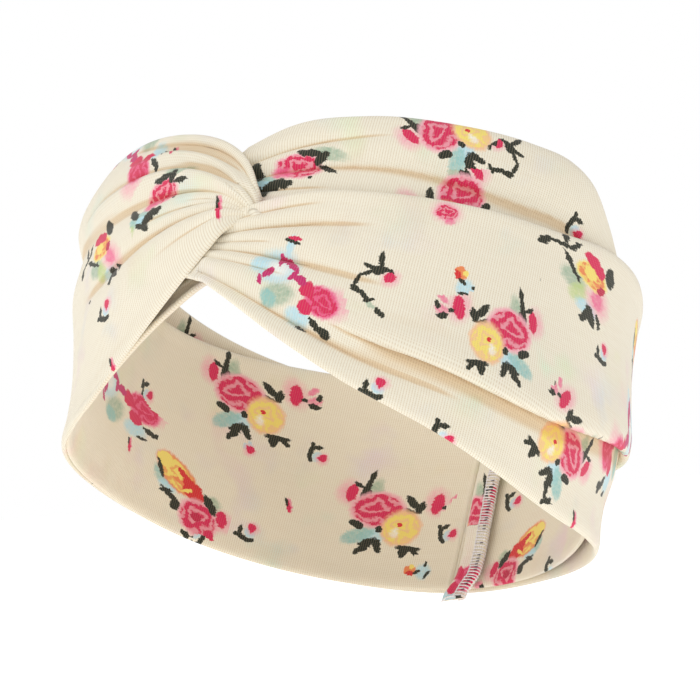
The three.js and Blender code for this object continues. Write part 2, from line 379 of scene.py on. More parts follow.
# Each motif is painted from blots: ink, x, y, half width, half height (mm), turn (degrees).
# A blot named "bloom" is a rose of layered petals between two inks.
MOTIFS = {
    "rose_pair": (
        ("sage", 2.6, 9.5, 2.0, 5.2, 15),
        ("sky", 2.5, -6.5, 4.2, 2.6, -20),
        ("teal", 6.8, -6.6, 4.8, 2.4, -32),
        ("blush", -14.5, 5.2, 3.2, 5.0, 0),
        ("rose", -14.6, 4.6, 1.7, 4.0, 12),
        ("pink", -19.4, 6.2, 2.0, 1.0, -38),
        ("pink", -19.2, 2.6, 2.0, 1.5, -20),
        ("leaf", -20.6, 3.8, 0.7, 1.5, 20),
        ("leaf", -18.6, 0.6, 1.7, 1.0, 25),
        ("leaf", -16.4, 2.8, 1.1, 0.8, 0),
        ("leaf", -7.6, 6.0, 1.2, 2.8, -28),
        ("leaf", -9.8, 3.6, 1.1, 2.6, 24),
        ("leaf", -6.6, 2.6, 2.2, 1.0, 30),
        ("blush", 9.4, 9.4, 2.9, 4.2, 10),
        ("rose", 8.6, 9.2, 1.4, 3.4, 12),
        ("leaf", 3.6, 14.0, 0.8, 4.2, 18),
        ("leaf", 5.0, 9.2, 1.3, 4.4, 12),
        ("leaf", 6.6, 12.2, 1.6, 0.8, 40),
        ("bloom rose blush", 1.6, 3.2, 6.8, 6.2, -15),
        ("bloom yellow peach", -4.7, -3.8, 4.9, 6.2, 14),
        ("red", -4.4, -2.6, 0.8, 0.6, 30),
        ("milk", -3.0, -5.6, 1.0, 1.8, 10),
        ("leaf", 7.2, -2.4, 2.2, 1.2, 38),
        ("leaf", 1.2, -4.2, 0.9, 1.3, 20),
        ("leaf", 1.6, -10.4, 1.1, 3.1, -8),
        ("leaf", 5.2, -11.0, 1.1, 3.6, 46),
        ("leaf", 4.2, -8.8, 2.6, 1.1, -24),
        ("leaf", -6.8, -11.6, 3.6, 1.2, 8),
        ("leaf", -5.4, -13.0, 1.1, 2.2, 20),
        ("leaf", -8.4, -13.2, 0.8, 1.8, -30),
    ),
    "blue_flower": (
        ("sky", -8.2, 5.4, 6.6, 5.4, -10),
        ("sky", -13.8, 5.4, 2.8, 3.0, 0),
        ("milk", -7.4, 5.2, 3.4, 2.8, -20),
        ("sky", 4.4, -7.6, 4.0, 2.6, -10),
        ("sage", -4.2, -3.0, 4.8, 3.4, 10),
        ("teal", -6.4, -4.6, 3.0, 2.0, -30),
        ("sky", -7.4, 13.2, 1.2, 3.2, 10),
        ("blush", 13.6, -0.6, 5.0, 4.4, -20),
        ("bloom rose pink", 9.4, -1.2, 5.6, 4.0, -28),
        ("rose", 3.6, 1.4, 2.2, 2.4, 10),
        ("rose", 5.6, -4.4, 2.6, 1.8, -30),
        ("magenta", -4.8, 7.6, 3.8, 1.1, -28),
        ("magenta", -8.2, 8.2, 0.9, 2.2, 20),
        ("magenta", -2.2, 4.2, 0.9, 2.2, -20),
        ("magenta", 0.4, 3.4, 2.6, 1.4, -20),
        ("magenta", -10.0, 3.0, 1.4, 2.2, -30),
        ("magenta", -11.4, 0.0, 0.7, 2.0, 35),
        ("rose", -7.0, 15.4, 2.2, 0.9, 6),
        ("leaf", -7.4, 14.3, 2.6, 0.6, -4),
        ("leaf", 10.2, -8.2, 2.8, 0.9, -34),
        ("leaf", 13.2, -9.4, 2.6, 1.1, -18),
        ("leaf", 6.6, -10.4, 1.8, 0.5, -10),
    ),
    "stem_bud": (
        ("sage", 1.0, -7.6, 1.6, 0.8, -30),
        ("blush", 4.8, 2.0, 2.6, 2.6, 0),
        ("leaf", 1.0, 7.4, 0.9, 3.0, 6),
        ("leaf", -1.6, 4.8, 2.2, 0.8, -24),
        ("leaf", 1.2, 4.0, 2.0, 1.6, 30),
        ("leaf", 3.9, 4.6, 1.7, 0.8, -20),
        ("leaf", -2.4, 2.5, 3.0, 0.6, 24),
        ("leaf", -4.7, 0.0, 0.8, 2.4, -14),
        ("leaf", -4.4, -3.0, 2.0, 1.0, -34),
        ("leaf", -1.8, -4.4, 2.4, 0.8, -40),
        ("leaf", 0.2, -6.0, 1.7, 0.8, 20),
        ("leaf", 4.2, -9.6, 2.2, 0.9, -44),
        ("rose", 4.5, 2.2, 1.7, 1.7, 0),
    ),
    "sunset_rose": (
        ("teal", -8.2, 4.2, 3.4, 3.0, -30),
        ("sky", -6.4, 1.0, 2.8, 2.0, -10),
        ("sage", 6.6, 1.6, 2.2, 2.6, 30),
        ("blush", 10.4, -3.0, 3.2, 3.4, 20),
        ("bloom yellow orange", -4.8, 6.4, 7.2, 4.0, -34),
        ("yellow", -9.0, 9.2, 2.6, 2.4, -20),
        ("red", 0.6, 3.4, 4.4, 2.6, -44),
        ("red", -2.6, 7.4, 2.6, 0.9, -34),
        ("orange", -3.8, 4.6, 2.0, 0.7, -20),
        ("yellow", -0.6, 2.6, 1.6, 0.6, 30),
        ("bloom rose blush", 3.8, -5.2, 5.0, 6.0, 30),
        ("deep", 3.4, -4.6, 1.4, 1.6, 20),
        ("rose", 9.8, -2.4, 1.5, 3.0, 10),
        ("rose", 7.6, -9.6, 1.4, 2.0, 20),
        ("leaf", -9.8, 5.8, 0.7, 3.2, 30),
        ("leaf", -5.0, -1.6, 3.8, 0.9, -26),
        ("leaf", -6.6, -0.6, 2.2, 0.8, 20),
        ("leaf", -3.0, -4.0, 1.5, 2.0, 10),
        ("leaf", 6.0, 1.0, 1.3, 3.4, 34),
        ("leaf", 2.6, -12.6, 2.6, 1.1, -30),
        ("leaf", 5.0, -13.4, 1.0, 2.0, 30),
        ("pink", 15.4, -7.2, 2.0, 1.2, -30),
        ("leaf", 14.6, -9.0, 1.0, 2.2, 24),
        ("leaf", 16.8, -9.8, 2.0, 0.7, -36),
    ),
    "tulip": (
        ("sage", -3.4, -2.6, 2.8, 3.2, 30),
        ("lime", -1.4, -5.6, 1.9, 3.6, -12),
        ("sky", 1.8, -8.2, 2.8, 2.4, 0),
        ("blush", 3.8, -3.4, 3.2, 4.6, 10),
        ("pink", 3.6, -3.0, 1.8, 2.8, 10),
        ("bloom orange yellow", 0.4, 2.6, 3.9, 3.6, 0),
        ("yellow", -0.2, 3.4, 1.7, 2.4, 0),
        ("rose", -0.6, 7.2, 2.6, 1.8, -20),
        ("rose", 1.6, 6.2, 1.6, 2.2, 30),
        ("deep", 3.6, 0.8, 1.0, 1.6, -20),
        ("leaf", 4.6, 7.6, 1.5, 3.2, 10),
        ("leaf", 3.2, -9.6, 1.1, 3.4, 30),
        ("leaf", 1.8, -11.0, 1.0, 2.6, -10),
        ("leaf", 5.4, -9.2, 0.6, 2.2, 24),
        ("leaf", -4.6, 0.6, 0.7, 4.4, 40),
        ("leaf", -8.2, 4.8, 3.2, 0.7, 24),
        ("leaf", -11.4, 2.6, 0.9, 2.0, -20),
        ("leaf", -8.0, 8.2, 0.7, 2.4, 10),
        ("leaf", -5.6, 7.2, 0.5, 2.2, -24),
        ("leaf", -9.4, -10.8, 0.6, 0.5, 0),
    ),
    "pink_rose": (
        ("teal", -6.0, -5.6, 3.4, 2.2, 20),
        ("sky", -5.0, -6.6, 1.8, 1.4, 0),
        ("lime", -9.0, -9.0, 1.4, 2.4, -30),
        ("sage", 5.4, 6.2, 3.6, 1.6, 10),
        ("bloom rose blush", 0.4, 0.4, 4.6, 3.2, 28),
        ("pink", -2.4, -2.2, 2.2, 1.6, 20),
        ("leaf", 1.6, 4.8, 2.6, 1.1, 12),
        ("leaf", 4.4, 4.4, 1.0, 2.2, -20),
        ("leaf", 6.4, 2.2, 2.0, 0.8, -10),
        ("leaf", -7.6, -2.8, 1.2, 2.8, 30),
        ("leaf", -2.8, -6.2, 1.4, 3.0, -40),
        ("leaf", -0.4, -5.2, 1.6, 1.0, 30),
        ("leaf", -4.8, -8.6, 1.0, 2.6, 50),
        ("leaf", 4.0, -1.8, 0.5, 0.5, 0),
    ),
    "small_rose": (
        ("blush", 0.0, 0.4, 4.2, 3.6, 0),
        ("bloom rose blush", 0.0, 0.2, 3.4, 2.6, 12),
        ("pink", 1.6, -2.6, 1.4, 1.2, 0),
    ),
    "bud": (
        ("sky", 1.4, -0.8, 1.6, 2.0, 0),
        ("blush", 3.4, -0.6, 2.2, 2.2, 0),
        ("leaf", -1.6, 0.2, 1.0, 3.0, 16),
        ("leaf", 0.2, 2.4, 1.7, 0.8, 24),
        ("leaf", -0.6, -2.6, 1.6, 0.8, -40),
        ("leaf", -2.4, 2.4, 1.0, 0.8, 0),
        ("rose", 3.3, -0.3, 1.4, 1.7, -20),
    ),
    "orange_bud": (
        ("sky", 0.2, -1.4, 2.8, 2.8, 0),
        ("orange", -2.0, 3.0, 1.8, 2.2, 30),
        ("red", -2.8, 2.2, 1.0, 1.6, 20),
        ("yellow", -0.6, 3.2, 0.9, 1.1, 0),
        ("leaf", -1.0, 0.4, 1.5, 0.6, -30),
        ("leaf", 2.7, -0.4, 1.0, 0.7, 30),
        ("leaf", 0.1, -3.4, 1.7, 0.7, 0),
    ),
    "red_bud": (
        ("pink", 0.4, 0.4, 1.0, 2.6, 24),
        ("rose", 0.2, -0.2, 0.8, 2.2, 24),
        ("leaf", -0.7, 1.2, 0.5, 1.8, 24),
    ),
}
MOTIF_NAMES = list(MOTIFS)
CELL = 60.0  # mm between neighbouring motifs on the plane the print is drawn on
REACH = {"rose_pair": 18, "blue_flower": 16, "stem_bud": 10, "sunset_rose": 16, "tulip": 13, "pink_rose": 10}

# Motifs on the cloth one can see: name, degrees round the loop, mm along it, turn, mirrored,
# and how far the cloth is drawn out round the loop there, where it is
PRINT = {
    ("right", "outer", 1): (
        ("blue_flower", 22, -13, -12, False),
        ("stem_bud", 36, -7, 0, False),
        ("orange_bud", 53, -1, 0, False),
        ("small_rose", 46, 20, 0, False),
        ("rose_pair", 62, -13, 0, False),
        ("tulip", 81, 20, -8, False, 1.8),
        ("bud", 41, -40, 60, False),
        ("bud", 55, -47, -20, False),
        ("rose_pair", 84, -35, -42, False),
        ("bud", 83, -49, 100, False),
        ("red_bud", 93, -50, 0, False),
        ("bud", 90, 1, 70, False),
        ("blue_flower", 108, -14, 30, True),
        ("sunset_rose", 118, 18, 0, False),
        ("rose_pair", 141, -8, 0, True),
        ("stem_bud", 160, 20, 0, False),
        ("tulip", 165, -18, 0, True),
    ),
    ("right", "inner", 1): (
        ("rose_pair", 44, 48, 66, True),
        ("stem_bud", 55, 46, -30, True),
        ("pink_rose", 14, 29, -10, False, 1.5),
        ("rose_pair", 49, 26, 35, False),
        ("bud", 76, 37, -30, False),
        ("bud", 37, 45, 180, False),
    ),
    ("left", "outer", 1): (
        ("blue_flower", -23, 42, 100, True, 1.2),
        ("pink_rose", -12, 20, 8, False, 1.5),
        ("red_bud", -13, 37, 0, False),
        ("tulip", -28, 8, 20, False, 1.3),
        ("bud", -25, -13, 60, False),
        ("red_bud", -22, -30, 0, False),
        ("red_bud", 3, 12, 0, False),
        ("rose_pair", -62, -8, 0, False),
        ("rose_pair", -78, 28, 40, True),
        ("stem_bud", -60, 42, 0, False),
        ("tulip", -96, -6, 0, True),
        ("sunset_rose", -114, 20, 0, False),
        ("blue_flower", -128, -18, 0, False),
        ("rose_pair", -150, 12, 0, False),
        ("bud", -170, -24, 0, False),
    ),
    ("left", "inner", 1): (
        ("blue_flower", -75, -9, 30, False, 1.5),
        ("bud", -84, 1, 0, False),
        ("red_bud", -84, -19, 0, False),
        ("rose_pair", -117, 17, 20, True, 1.35),
        ("sunset_rose", -108, -25, 0, False, 1.4),
        ("bud", -114, -37, 150, False),
        ("bud", -125, -29, 60, False),
        ("bud", -137, 7, -20, False),
        ("red_bud", -134, -15, 0, False),
        ("rose_pair", -158, -13, 8, True, 1.35),
        ("bud", -174, -17, 0, False),
        ("orange_bud", -170, -31, 60, False),
        ("bud", -120, 4, -60, False),
    ),
    ("right", "inner", -1): (
        ("bud", 168, -7, 0, False),
        ("sunset_rose", 162, -30, 0, True),
        ("bud", 148, -37, -40, False),
    ),
}
INNER_PAINTED_SHADE = 0.22  # painted shade: how much warmer and darker the side that faces the head is painted
SPACING = 46.0  # mm between motifs where the print is laid out by rule


# ---------------------------------------------------------------- cloth meshes
def grid_normals(p):
    du = np.gradient(p, axis=0)
    dv = np.gradient(p, axis=1)
    n = np.cross(du, dv)
    size = np.linalg.norm(n, axis=-1, keepdims=True)
    return n / np.maximum(size, 1e-12)


def motif_frame(middle, normal, row, col, side):
    """Origin, across and up directions of a motif printed at one grid point."""
    up = np.array([0.0, -math.sin(-WORN_TILT), math.cos(WORN_TILT)])
    out = normal[row, col] * side
    up = up - out * np.dot(up, out)
    up = up / np.linalg.norm(up)
    return middle[row, col], np.cross(up, out), up


def lay_print(which, grid, middle, normal, along, legs):
    """Every motif of one strip: kind, mirror, side, position along, origin, across, up."""
    laid = []
    for side in (1, -1):
        taken = []
        for leg, (first, last) in legs.items():
            for name, angle, height, turn, mirror, *wide in PRINT.get((which, leg, side), ()):
                away = ((grid[0][first:last] - angle) * MM_PER_DEGREE) ** 2
                away = away + (grid[1][first:last] - height) ** 2
                row, col = np.unravel_index(np.argmin(away), away.shape)
                taken.append((name, row + first, col, turn, mirror, *wide))
        for step, u in enumerate(np.arange(12, along[-1], SPACING / 2)):
            row = int(np.argmin(np.abs(along - u)))
            v = HALF * (0.52 if step % 2 else -0.48)
            col = int(np.argmin(np.abs(V * HALF - v)))
            if abs(grid[0][row, col]) < 58:
                continue
            near = [math.hypot(along[r] - along[row], (V[c] - V[col]) * HALF) for _, r, c, *_ in taken]
            if near and min(near) < 0.8 * SPACING:
                continue
            name = MOTIF_NAMES[(step * 3) % 5]
            taken.append((name, row, col, 70 * step % 360, step % 2 == 0))
        for name, row, col, turn, mirror, *wide in taken:
            origin, across, up = motif_frame(middle, normal, row, col, side)
            across = across / (wide[0] if wide else 1.0)
            c, s = math.cos(math.radians(turn)), math.sin(math.radians(turn))
            turned = (across * c + up * s) * (-1 if mirror else 1)
            laid.append((name, side, along[row], origin, turned, up * c - across * s))
    return laid


def print_plane(laid, centres, corners, face_along, face_side, corner_face):
    """Where each face corner falls on the plane the motifs are drawn on, mm."""
    score = np.full((len(laid), len(centres)), 1e6)
    for k, (name, side, u, origin, across, up) in enumerate(laid):
        away = np.linalg.norm(centres - origin, axis=1) * 1000 - REACH.get(name, 5)
        fits = (face_side == side) & (np.abs(face_along - u) < 70)
        score[k] = np.where(fits, away, 1e6)
    pick = np.argmin(score, 0)
    lost = np.min(score, 0) > 40
    kinds = np.array([MOTIF_NAMES.index(m[0]) for m in laid])
    origins = np.array([m[3] for m in laid])
    across = np.array([m[4] for m in laid])
    up = np.array([m[5] for m in laid])
    mine = pick[corner_face]
    rel = (corners - origins[mine]) * 1000
    limit = CELL / 2 - 1
    x = np.clip(np.sum(rel * across[mine], 1), -limit, limit)
    y = np.clip(np.sum(rel * up[mine], 1), -limit, limit)
    y = np.where(lost[corner_face], limit, y)
    return np.stack([kinds[mine] * CELL + x, y], -1)


def folds(middle, normal):
    """How deep in a crease each grid point sits: 0 on open cloth, 1 in a sharp crease. The painted crease
    shade follows it.
    """
    total = 0
    size = middle.shape[1]
    for reach, least, depth in ((4, 0.015, 0.09), (12, 0.14, 0.5)):
        padded = np.pad(middle, [(0, 0), (reach, reach), (0, 0)], mode="edge")
        wide = sum(padded[:, k:k + size] for k in range(2 * reach + 1)) / (2 * reach + 1)
        dip = (np.sum((wide - middle) * normal, -1) * 1000 - least) / depth
        total = total + np.clip(dip, 0, 1)
    total = total * smooth(1 - np.abs(V), 0.03, 0.12)[None, :]
    return np.clip(total, 0, 1)


def facing_out(middle, normal):
    """1 where the cloth faces away from the loop's axis, -1 where it faces the axis."""
    axis = np.array([0.0, math.sin(WORN_TILT), math.cos(WORN_TILT)])
    away = middle - axis * np.sum(middle * axis, -1, keepdims=True)
    away = away / np.linalg.norm(away, axis=-1, keepdims=True)
    return np.sum(normal * away, -1)


def tube_strip(which, grid, legs, facing):
    """A flattened tube of cloth round the given middle surface."""
    middle = on_loop(*grid)
    normal = grid_normals(middle) * facing
    rows, cols = middle.shape[:2]
    edge = np.clip((np.abs(V) - 0.93) / 0.07, 0, 1)
    half = CLOTH / 2 * (1 + 0.35 * smooth(np.abs(V), 0.8, 0.94)) * np.sqrt(1 - edge * edge)
    thick = (half * 0.001)[None, :, None]
    face = middle + normal * thick
    back = middle - normal * thick
    loop = np.concatenate([face, back[:, -2:0:-1]], 1)
    around = loop.shape[1]
    verts = loop.reshape(-1, 3)
    i = np.arange(rows - 1)[:, None]
    j = np.arange(around)[None, :]
    nxt = (j + 1) % around
    quads = np.stack([i * around + j, (i + 1) * around + j, (i + 1) * around + nxt, i * around + nxt], -1)
    quads = quads.reshape(-1, 4)
    k = np.arange(1, cols - 2)
    cap = np.stack([k, k + 1, (around - k - 1) % around, around - k], -1)
    quads = np.concatenate([quads, cap, cap[:, ::-1] + (rows - 1) * around])
    quads = quads[:, ::facing]
    name = which + "_strip"
    mesh = bpy.data.meshes.new(name)
    mesh.from_pydata(verts.tolist(), [], quads.tolist())
    mesh.update()
    steps = np.linalg.norm(np.diff(middle[:, cols // 2], axis=0), axis=-1)
    along = np.concatenate([[0], np.cumsum(steps)]) * 1000
    across = V * HALF
    side = np.concatenate([across, across[-2:0:-1] + 400.0])
    corner = quads.ravel()
    uvs = np.stack([along[corner // around], side[corner % around]], -1)
    uv = mesh.uv_layers.new(name="cloth")
    uv.data.foreach_set("uv", uvs.astype(np.float32).ravel() * 0.001)

    laid = lay_print(which, grid, middle, normal, along, legs)
    centres = verts[quads].mean(1)
    face_along = along[quads // around].mean(1)
    face_side = np.where(np.max(quads % around, 1) < cols, 1, -1)
    corner_face = np.repeat(np.arange(len(quads)), 4)
    spots = print_plane(laid, centres, verts[corner], face_along, face_side, corner_face)
    uv = mesh.uv_layers.new(name="print")
    uv.data.foreach_set("uv", spots.astype(np.float32).ravel() * 0.001)

    # painted shade: each ply is darkened by how deep in a crease it sits
    deep = folds(middle, normal)
    low = folds(middle, -normal)
    # painted shade: cloth that faces the head gets little light, and warm light at that, so it is painted
    # darker and warmer
    deep = np.clip(deep + INNER_PAINTED_SHADE * smooth(-facing_out(middle, normal), 0.0, 0.7), 0, 1)
    low = np.clip(low + INNER_PAINTED_SHADE * smooth(facing_out(middle, normal), 0.0, 0.7), 0, 1)
    # the painted shade of both plies, kept on the mesh
    both = np.concatenate([deep, low[:, -2:0:-1]], 1)
    mesh.attributes.new("painted_shade", "FLOAT", "POINT").data.foreach_set("value", both.astype(np.float32).ravel())

    obj = bpy.data.objects.new(name, mesh)
    bpy.context.scene.collection.objects.link(obj)
    mesh.polygons.foreach_set("use_smooth", [True] * len(mesh.polygons))
    return obj


def leg_rows(front_rows, hook_rows, back_rows):
    """First and last row of each leg, with the hook's two end rows dropped."""
    start = front_rows + hook_rows - 2
    return {"outer": (0, front_rows), "inner": (start, start + back_rows)}


right = tube_strip("right", RIGHT, leg_rows(RIGHT_OUTER_ROWS, RIGHT_HOOK_ROWS, RIGHT_INNER_ROWS), -1)
LEFT_FRONT_ROWS = LEFT_OUTER_ROWS + LEFT_DOME_ROWS - 1
left = tube_strip("left", LEFT, leg_rows(LEFT_FRONT_ROWS, LEFT_HOOK_ROWS, LEFT_INNER_ROWS), 1)


# ---------------------------------------------------------------- seam allowance
# half thickness of the allowance from its root (0) to its cut edge (1), mm
FLAP_PROFILE = [(0, 0.95), (0.2, 1.35), (0.42, 1.0), (0.6, 1.2), (0.85, 1.25), (1, 1.15)]
FLAP_TOP = 38.3  # its ends along the loop's axis, mm
FLAP_END = -43.0
LOOPER_RADIUS = 0.23  # mm
DARK_THREAD_RADIUS = 0.15


def beside_seam(s, t, h):
    """s mm from the root of the allowance, t mm towards the head, h mm along the loop."""
    # the loose ends of the allowance curl back towards the seam
    s = s + 1.8 - 0.026 * h - 4.6 * smooth(-h, 33, 44) - 0.8 * smooth(h, 28, 38) + 0.3 * np.sin(h * 0.23)
    t = t + 0.5 * smooth(-h, 33, 41) + 0.25 * np.sin(h * 0.31 + 1)
    c, k = math.cos(FLAP_TURN), math.sin(FLAP_TURN)
    x = s * c - t * k
    y = SEAM_ROOT - s * k - t * c
    c, k = math.cos(WORN_TILT), math.sin(WORN_TILT)
    return np.stack([x, y * c + h * k, -y * k + h * c], -1) * 0.001


def flap_half(share):
    return through(FLAP_PROFILE, share)


def closed_tube(rings):
    """Faces of a tube through rings of points, with a cap at each end."""
    count, around = rings.shape[:2]
    i = np.arange(count - 1)[:, None]
    j = np.arange(around)[None, :]
    nxt = (j + 1) % around
    quads = np.stack([i * around + j, (i + 1) * around + j, (i + 1) * around + nxt, i * around + nxt], -1)
    faces = quads.reshape(-1, 4).tolist()
    faces.append(list(range(around)))
    faces.append([(count - 1) * around + k for k in range(around)][::-1])
    return faces


def seam_flap():
    heights = np.linspace(FLAP_TOP, FLAP_END, 150)[:, None]
    turn = np.linspace(0, 2 * math.pi, 48, endpoint=False)[None, :]
    share = 0.5 - 0.5 * np.cos(turn)
    side = np.sign(np.sin(turn)) * np.power(np.abs(np.sin(turn)), 0.45)
    gather = 1 + 0.07 * np.sin(heights * 2 * math.pi / 2.1) * smooth(share, 0.35, 0.6)
    ends = 1 - 0.6 * smooth(np.abs(heights - (FLAP_TOP + FLAP_END) / 2), 39.2, 40.8)
    s = FLAP_WIDTH * share + 0 * heights
    t = flap_half(share) * side * gather * ends
    h = heights + 0 * turn
    rings = beside_seam(s, t, h)
    faces = closed_tube(rings)
    mesh = bpy.data.meshes.new("seam_flap_cloth")
    mesh.from_pydata(rings.reshape(-1, 3).tolist(), [], faces)
    mesh.update()
    corner = np.empty(len(mesh.loops), np.int32)
    mesh.loops.foreach_get("vertex_index", corner)
    flat_s = (s + 20 * (side < 0)).ravel()[corner]
    flat_h = h.ravel()[corner]
    uv = mesh.uv_layers.new(name="cloth")
    uv.data.foreach_set("uv", np.stack([flat_s, flat_h], -1).astype(np.float32).ravel() * 0.001)
    # a rose crosses the allowance near its top, and half a flower its lower end
    low = flat_h < -24
    kind = np.where(low, MOTIF_NAMES.index("blue_flower"), MOTIF_NAMES.index("rose_pair"))
    x = kind * CELL + np.where(low, flat_s + 2.0, flat_s - 1.4)
    y = np.where(low, flat_h + 35.0, flat_h + 15.2)
    y = np.where(np.abs(flat_h + 21) < 4.5, CELL / 2, y)
    uv = mesh.uv_layers.new(name="print")
    uv.data.foreach_set("uv", np.stack([x, y], -1).astype(np.float32).ravel() * 0.001)
    obj = bpy.data.objects.new("seam_flap_cloth", mesh)
    bpy.context.scene.collection.objects.link(obj)
    mesh.polygons.foreach_set("use_smooth", [True] * len(mesh.polygons))
    return obj


def thread_tubes(name, paths, radius, sides=6):
    """Every path as a thin round thread, all in one mesh."""
    verts = []
    faces = []
    for path in paths:
        along = np.gradient(path, axis=0)
        along = along / np.linalg.norm(along, axis=1, keepdims=True)
        guide = np.array([0.31, 0.52, 0.79])
        first = np.cross(along, guide)
        first = first / np.linalg.norm(first, axis=1, keepdims=True)
        second = np.cross(along, first)
        turn = np.linspace(0, 2 * math.pi, sides, endpoint=False)[None, :, None]
        spoke = first[:, None] * np.cos(turn) + second[:, None] * np.sin(turn)
        ring = path[:, None] + spoke * radius * 0.001
        start = len(verts)
        verts.extend(ring.reshape(-1, 3).tolist())
        faces.extend([[k + start for k in face] for face in closed_tube(ring)])
    mesh = bpy.data.meshes.new(name)
    mesh.from_pydata(verts, [], faces)
    mesh.update()
    mesh.polygons.foreach_set("use_smooth", [True] * len(mesh.polygons))
    obj = bpy.data.objects.new(name, mesh)
    bpy.context.scene.collection.objects.link(obj)
    return obj


def overlock():
    """Looper threads wrap the cut edge, and a needle thread holds them down."""
    chance = np.random.default_rng(7)
    loopers = []
    needles = []
    darks = []
    t = np.linspace(0, 1, 15)
    reach = (FLAP_WIDTH - STITCH_LINE) / FLAP_WIDTH
    for h in np.arange(FLAP_TOP - 0.6, FLAP_END + 0.5, -STITCH_PITCH):
        slip, lean, near = chance.uniform(-0.14, 0.14, 3)
        # over the edge: from the needle line, round the cut edge, back underneath
        turn = t * math.pi
        share = (STITCH_LINE + near) / FLAP_WIDTH + (reach - near / FLAP_WIDTH) * np.sin(turn) * 1.02
        side = np.sign(np.cos(turn)) * np.power(np.abs(np.cos(turn)), 0.4)
        round_off = np.power(1 - np.clip((share - 0.9) / 0.16, 0, 0.99) ** 2, 0.5)
        half = flap_half(np.clip(share, 0, 1)) * round_off
        rise = (half + 0.22) * side
        loopers.append(beside_seam(share * FLAP_WIDTH, rise, h + slip - (0.75 + lean) * t))
        share = (STITCH_LINE + 0.2 + near) / FLAP_WIDTH
        s = share * FLAP_WIDTH + 0 * t[:6]
        down = h + 0.05 - 0.8 * STITCH_PITCH * t[:6] / t[5]
        needles.append(beside_seam(s, flap_half(share) + 0.16 + 0 * s, down))
        if chance.uniform() < 0.62:
            s = FLAP_WIDTH * (0.84 + 0.12 * t[:6] / t[5]) + near
            rise = flap_half(s / FLAP_WIDTH) + 0.1
            darks.append(beside_seam(s, rise, h - 0.5 + slip + lean * t[:6]))
    tail = beside_seam(6.5 - 6 * t, 1.2 + 0.8 * np.sin(4 * t), FLAP_END + 0.6 - 1.2 * t)
    loopers.append(tail)
    white = thread_tubes("overlock_loopers", loopers + needles, LOOPER_RADIUS)
    dark = thread_tubes("overlock_dark_thread", darks, DARK_THREAD_RADIUS)
    return white, dark


flap = seam_flap()
white_thread, dark_thread = overlock()


# ---------------------------------------------------------------- materials
def srgb(colour):
    return tuple(((c / 255 + 0.055) / 1.055) ** 2.4 for c in colour) + (1,)


class Nodes:
    """A little shorthand for wiring shader nodes."""

    def __init__(self, name):
        self.material = bpy.data.materials.new(name)
        self.material.use_nodes = True
        self.tree = self.material.node_tree
        self.shader = self.tree.nodes["Principled BSDF"]

    def add(self, kind, values, output=0, **settings):
        node = self.tree.nodes.new("ShaderNode" + kind)
        for key, value in settings.items():
            setattr(node, key, value)
        for key, value in values.items():
            self.set(node.inputs[key], value)
        return node.outputs[output]

    def set(self, socket, value):
        if isinstance(value, bpy.types.NodeSocket):
            self.tree.links.new(value, socket)
        else:
            socket.default_value = value

    def maths(self, operation, a, b=0.0):
        return self.add("Math", {0: a, 1: b}, operation=operation)

    def mix(self, amount, a, b):
        return self.add("Mix", {0: amount, 6: a, 7: b}, output=2, data_type="RGBA")

    def shade(self, amount, a, b):
        return self.add("Mix", {0: amount, 6: a, 7: b}, output=2, data_type="RGBA", blend_type="MULTIPLY")

    def ramp(self, value, low, high, start=0.0, end=1.0):
        values = {"Value": value, "From Min": low, "From Max": high, "To Min": start, "To Max": end}
        return self.add("MapRange", values, interpolation_type="SMOOTHSTEP")

    def linear(self, value, low, high, start=0.0, end=1.0):
        values = {"Value": value, "From Min": low, "From Max": high, "To Min": start, "To Max": end}
        return self.add("MapRange", values)

    def noise(self, vector, scale, detail=2.0, output=0):
        return self.add("TexNoise", {"Vector": vector, "Scale": scale, "Detail": detail}, output=output)

    def disc(self, point, x, y, half_x, half_y, turn):
        """Coordinates in which the blot is the unit disc."""
        values = {
            "Vector": point,
            "Location": (x, y, 0),
            "Rotation": (0, 0, math.radians(turn)),
            "Scale": (half_x, half_y, 1),
        }
        return self.add("Mapping", values, vector_type="TEXTURE")

    def after(self, done, vector):
        """The vector unchanged, but worked out only once `done` is known."""
        return self.add("VectorMath", {0: done, 1: (1e-7,) * 3, 2: vector}, operation="MULTIPLY_ADD")

    def length(self, vector):
        return self.add("VectorMath", {0: vector}, output=1, operation="LENGTH")


CREAM = srgb((242, 235, 216))
UNEVEN_YARN = srgb((226, 212, 184))
BETWEEN_STITCHES = srgb((208, 186, 150))
BETWEEN_STITCHES_IN_PRINT = srgb((214, 190, 156))
# painted shade: a warm tan multiplied into creases and into the side that faces the head
PAINTED_SHADE_COLOUR = srgb((224, 186, 128))
PAINTED_SHADE_STRENGTH = 0.5
WALE = 0.00080  # metres from one column of stitches to the next
COURSE = 0.00062  # and from one row to the next


def ragged(n, point):
    """The print's edges wander, as ink does on knitted cloth."""
    for scale, size in ((0.45, 1.4), (1.5, 1.3), (3.6, 0.5)):
        wobble = n.noise(point, scale, 2.0, output=1)
        wobble = n.add("VectorMath", {0: wobble, 1: (0.5, 0.5, 0.5)}, operation="SUBTRACT")
        wobble = n.add("VectorMath", {0: wobble, 1: (size, size, 0)}, operation="MULTIPLY")
        point = n.add("VectorMath", {0: point, 1: wobble}, operation="ADD")
    return point


